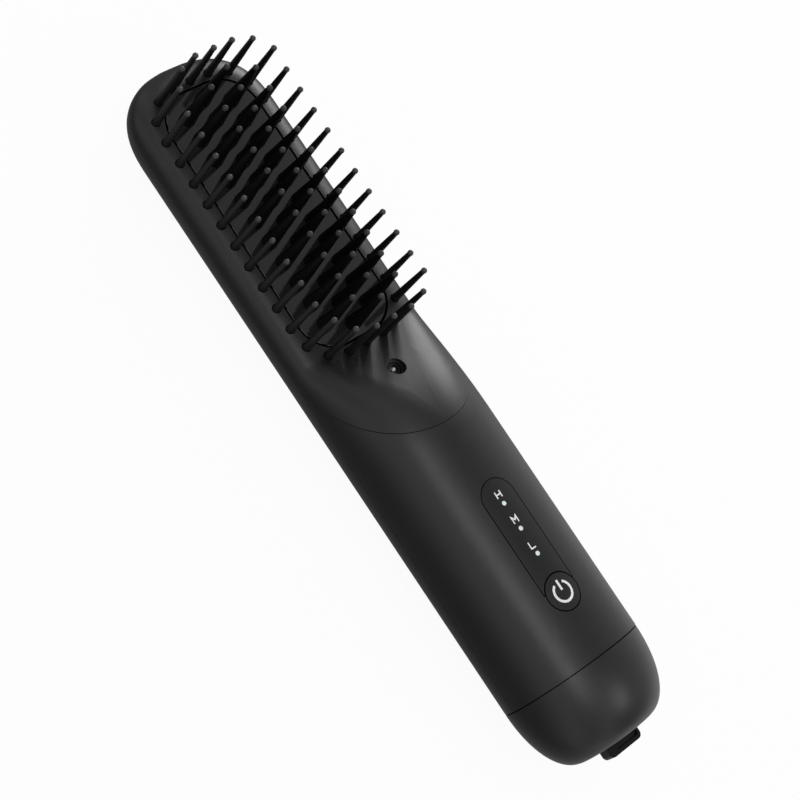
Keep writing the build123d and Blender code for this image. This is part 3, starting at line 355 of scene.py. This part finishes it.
# Guard pins and their ring.
# Black nylon pins pressed into a ring under the cover. They stay cool and keep the skin off the
# teeth. The end pins are longer than those along the sides.
side_pins_lower = 1.7 * mm
end_pins_beyond = 29.5 * mm     # from the middle of the plate
pin_nylon, pin_shader = grained_finish(
    "pin_nylon",
    dark=(0.007, 0.007, 0.0071),
    light=(0.009, 0.009, 0.0091),
    roughness=0.42,
    size=0.4 * mm,
    depth=0.01,
)
pin_shader.inputs["Specular IOR Level"].default_value = 0.45
pin_low, pin_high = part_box("guard_pins")
tree = pin_nylon.node_tree
pin_place = place_parts(tree)
middle_y = (pin_low[1] + pin_high[1]) / 2
from_middle = maths(tree, "ABSOLUTE", maths(tree, "SUBTRACT", pin_place["Y"], middle_y))
along_side = maths(tree, "LESS_THAN", from_middle, end_pins_beyond)
pin_top = maths(tree, "SUBTRACT", pin_high[2], maths(tree, "MULTIPLY", along_side, side_pins_lower))
paler_tip(pin_shader, pin_place["Z"], pin_top)
dress(pin_nylon, nodes["guard_pins"], nodes["pin_ring"])

# Head cover.
# The face, its rounded edge and the slope of the neck, in the same moulded plastic as the shell.
# It drops over plate and pins, and the neck screw holds it.
dress(shell_plastic, nodes["head_cover"])

# Neck screw.
# A blackened steel screw with a round drive and a bright domed pin in its middle, sunk in a
# stepped recess on the slope.
bright_pin_radius = 0.8 * mm
bright_steel = (0.55, 0.55, 0.56)
neck_steel, neck_shader = grained_finish(
    "neck_steel", dark=(0.006, 0.006, 0.006), light=(0.012, 0.012, 0.012), roughness=0.5, size=0.2 * mm
)
neck_low, neck_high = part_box("neck_screw")
neck_axis = ((neck_low[0] + neck_high[0]) / 2, (neck_low[1] + neck_high[1]) / 2, 0.0)
level_only = (1, 1, 0)
tree = neck_steel.node_tree
from_axis = vector_maths(tree, "SUBTRACT", place_on(tree), neck_axis)
off_axis = vector_maths(tree, "LENGTH", vector_maths(tree, "MULTIPLY", from_axis, level_only))
bright = maths(tree, "LESS_THAN", off_axis, bright_pin_radius)
paint_over(neck_shader, bright, bright_steel)
tree.links.new(bright, neck_shader.inputs["Metallic"])
dress(neck_steel, nodes["neck_screw"])

# Battery.
# A cylindrical cell in blue shrink film, in a grey moulded cradle, with nickel strips welded to
# both ends and a foam pad that holds it down.
cell_wrap, wrap_shader = grained_finish(
    "cell_wrap", dark=(0.02, 0.07, 0.26), light=(0.03, 0.1, 0.33), roughness=0.3, size=0.8 * mm
)
wrap_shader.inputs["Coat Weight"].default_value = 0.4
dress(cell_wrap, nodes["battery_cell"])
cradle_plastic, _ = grained_finish(
    "cradle_plastic",
    dark=(0.18, 0.18, 0.19),
    light=(0.24, 0.24, 0.25),
    roughness=0.5,
    rubbed=(0.3, 0.3, 0.3),
)
dress(cradle_plastic, nodes["battery_cradle"])
nickel_strip = rolled_metal("nickel_strip", (0.66, 0.63, 0.57), roughness=0.2)
dress(nickel_strip, nodes["battery_tabs"])
foam, _ = grained_finish(
    "foam", dark=(0.04, 0.04, 0.04), light=(0.09, 0.09, 0.09), roughness=0.95, size=0.5 * mm, depth=0.8
)
dress(foam, nodes["battery_foam"])

# Circuit boards.
# Glass-fibre boards under green solder mask, with copper tracks just showing through it. The
# control board hangs from the front shell and the charging board lies in the end cap.
board_green, board_shader = grained_finish(
    "board_green", dark=(0.008, 0.08, 0.03), light=(0.012, 0.11, 0.04), roughness=0.3
)
track_pitch = 1.4 * mm
track_width = track_pitch / 7
track_run = 3 * track_pitch
track_green = (0.05, 0.2, 0.07)
tracks = add_node(
    board_green.node_tree,
    "ShaderNodeTexBrick",
    {
        "Vector": place_on(board_green.node_tree),
        "Scale": 1.0,
        "Mortar Size": track_width,
        "Mortar Smooth": 0.1,
        "Brick Width": track_run,
        "Row Height": track_pitch,
    },
)
paint_over(board_shader, tracks.outputs["Fac"], track_green)
dress(board_green, nodes["control_board"], nodes["charge_board"])

# Chips, switch and plunger.
# Moulded black epoxy, matt on top with a fine even grain.
chip_black, _ = grained_finish(
    "chip_black",
    dark=(0.012, 0.012, 0.012),
    light=(0.02, 0.02, 0.02),
    roughness=0.55,
    rubbed=(0.05, 0.05, 0.05),
)
dress(chip_black, nodes["control_chips"], nodes["tact_switch"], nodes["switch_plunger"])

# Indicator lamps.
# White surface-mount lamps with a clear resin window, one under each light pipe.
lamp_white, lamp_shader = grained_finish(
    "lamp_white", dark=(0.7, 0.7, 0.62), light=(0.85, 0.85, 0.78), roughness=0.2
)
lamp_shader.inputs["Coat Weight"].default_value = 1.0
dress(lamp_white, nodes["indicator_leds"])

# Charging socket.
# A folded and plated steel shell round a tongue, soldered to the charging board.
socket_steel = rolled_metal("socket_steel", (0.6, 0.6, 0.62), roughness=0.25, along=plating_marks)
dress(socket_steel, nodes["usb_socket"])

# Leads.
# Round insulated wires with a soft red silicone skin, from board to board, cell and heaters.
lead_red, lead_shader = grained_finish(
    "lead_red", dark=(0.38, 0.02, 0.012), light=(0.5, 0.03, 0.02), roughness=0.45, size=0.5 * mm
)
lead_shader.inputs["Sheen Weight"].default_value = 0.2
dress(lead_red, nodes["heater_leads"], nodes["charge_leads"], nodes["battery_leads"])

# Front shell of the handle.
# The front half of the handle, moulded in the same charcoal plastic, with a pocket for the
# control panel and a round hole for the button. It snaps into the rear shell.
dress(shell_plastic, nodes["handle_front_shell"])

# Control panel.
# A thin inlay in smooth charcoal plastic, a little glossier than the shell round it. The shade in
# the gap round it is painted as a black band along its sharp edges.
gap_shade = 0.2 * mm        # how far the dark of a gap reaches past the edge
# Painted shade: a black band along sharp edges, for narrow gaps that get no light.
painted_gap_shade, painted_gap_shade_in, painted_gap_shade_out = new_effect("painted_gap_shade_line", {"Width": gap_shade}, ["Mask"])
edge_band = sharpness(painted_gap_shade, painted_gap_shade_in["Width"], samples=8, faint=0.98, full=0.9)
painted_gap_shade.links.new(edge_band, painted_gap_shade_out["Mask"])


def paint_gap_shade(shader):
    """Blackens a narrow band along sharp edges as painted shade, as a deep gap looks from outside."""
    edge = use_effect(shader.id_data, painted_gap_shade, width=gap_shade)["Mask"]
    paint_over(shader, edge, black)
    shader.id_data.links.new(edge, shader.inputs["Metallic"])


panel_plastic, panel_shader = grained_finish(
    "panel_plastic",
    dark=(0.0048, 0.0048, 0.0049),
    light=(0.006, 0.006, 0.0061),
    roughness=0.34,
    size=0.5 * mm,
    depth=0.03,
)
paint_gap_shade(panel_shader)
dress(panel_plastic, nodes["control_panel"])

# Light pipes and marks.
# Frosted clear rods that end flush in the panel, seen as white dots. The heat letters and the
# power sign are shot into the panel and the button in white plastic.
light_guide, guide_shader = grained_finish(
    "light_guide", dark=(0.9, 0.9, 0.9), light=(0.96, 0.96, 0.96), roughness=0.4, size=0.2 * mm
)
guide_shader.inputs["Subsurface Weight"].default_value = 0.3
guide_shader.inputs["Subsurface Scale"].default_value = 1.0 * mm
dress(light_guide, *[nodes[f"light_pipe_{heat}"] for heat in ("low", "medium", "high")])
mark_white, _ = grained_finish(
    "mark_white", dark=(0.88, 0.88, 0.88), light=(0.94, 0.94, 0.94), roughness=0.5, size=0.2 * mm
)
dress(mark_white, nodes["heat_letters"], nodes["power_icon"])

# Power button.
# A round cap in charcoal plastic, which slides in its hole and presses the switch below.
button_plastic, button_shader = grained_finish(
    "button_plastic", dark=(0.0045, 0.0045, 0.0046), light=(0.006, 0.006, 0.0061), roughness=0.37
)
# The shade in the gap round the cap is painted as a black band along its sharp edges.
paint_gap_shade(button_shader)
dress(button_plastic, nodes["power_button"])

# End cap.
# A domed cap in the shell's plastic, clipped in by its collar, with a dish round the port.
dress(shell_plastic, nodes["end_cap"])

# Port plug.
# Soft black rubber that fills the charging port, with a tab and a nail groove to pull it by.
port_rubber, rubber_shader = grained_finish(
    "port_rubber",
    dark=(0.002, 0.002, 0.0021),
    light=(0.004, 0.004, 0.0041),
    roughness=0.32,
    size=0.25 * mm,
    depth=0.06,
)
rubber_shader.inputs["Specular IOR Level"].default_value = 0.25
rubber_shader.inputs["Sheen Weight"].default_value = 0.02
dress(port_rubber, nodes["port_plug"])

# Room light.
# A pale room, white to the eye. What the comb's gloss sees of it are dim walls with three screens,
# each brightest at its middle and fading out to both sides.
room_light = 0.5
wall_tone = 0.14
left_screen = {"middle": -0.65, "half_width": 0.4, "tone": 0.8}
top_screen = {"middle": 0.0, "half_width": 0.4, "tone": 0.84}
right_screen = {"middle": 1.0, "half_width": 0.65, "tone": 0.66}
world = bpy.data.worlds.new("pale_room")
bpy.context.scene.world = world
world.use_nodes = True
tree = world.node_tree
towards = add_node(tree, "ShaderNodeTexCoord").outputs["Generated"]
sideways = add_node(tree, "ShaderNodeSeparateXYZ", {0: towards}).outputs["X"]
walls = wall_tone
for screen in (left_screen, top_screen, right_screen):
    aside = maths(tree, "ABSOLUTE", maths(tree, "SUBTRACT", sideways, screen["middle"]))
    walls = maths(tree, "ADD", walls, ramp(tree, aside, 0.0, screen["half_width"], screen["tone"], 0.0))
rays = add_node(tree, "ShaderNodeLightPath").outputs
reflected = between(tree, rays["Is Glossy Ray"], room_light, walls)
clear = maths(tree, "MAXIMUM", rays["Is Camera Ray"], rays["Is Transmission Ray"])
room = tree.nodes["Background"]
room.inputs["Color"].default_value = (1, 1, 1, 1)
tree.links.new(between(tree, clear, reflected, 1.0), room.inputs["Strength"])


# Lamps.
# Three soft lamps, as round a product table: a narrow one high over the handle, a low one far out
# past the right of the head, and a small one beyond the end cap.
def soft_lamp(name, spot, aim, size, energy):
    """A rectangular lamp at a spot, turned towards the place it is aimed at."""
    bpy.ops.object.light_add(type="AREA", location=spot)
    lamp = bpy.context.object
    lamp.name = name
    lamp.data.shape = "RECTANGLE"
    lamp.data.size, lamp.data.size_y = size
    lamp.data.energy = energy
    lamp.rotation_euler = (Vector(aim) - lamp.location).to_track_quat("-Z", "Y").to_euler()


soft_lamp("strip_lamp", spot=(-0.18, -0.12, 0.8), aim=(0, -0.12, 0.02), size=(0.4, 0.05), energy=0.85)
soft_lamp("side_lamp", spot=(0.64, 0.42, 0.254), aim=(0, 0, 0.02), size=(0.45, 0.4), energy=3.1)
soft_lamp("cap_lamp", spot=(0.317, -0.491, 0.641), aim=(0, -0.086, 0.028), size=(0.2, 0.2), energy=0.65)

# Camera.
# From the left and high up, turned so that the comb lies across the frame.
camera_place = (-0.27223, -0.03593, 0.41425)
camera_turn = (23.953, -25.836, -38.075)        # degrees about X, Y and Z
camera_data = bpy.data.cameras.new("camera")
camera_data.lens = 91.62
camera_data.sensor_width = 36.0
camera_data.clip_start = 0.01
camera = bpy.data.objects.new("camera", camera_data)
bpy.context.scene.collection.objects.link(camera)
camera.location = camera_place
camera.rotation_euler = [math.radians(angle) for angle in camera_turn]
bpy.context.scene.camera = camera
bpy.context.scene.view_settings.view_transform = "Standard"
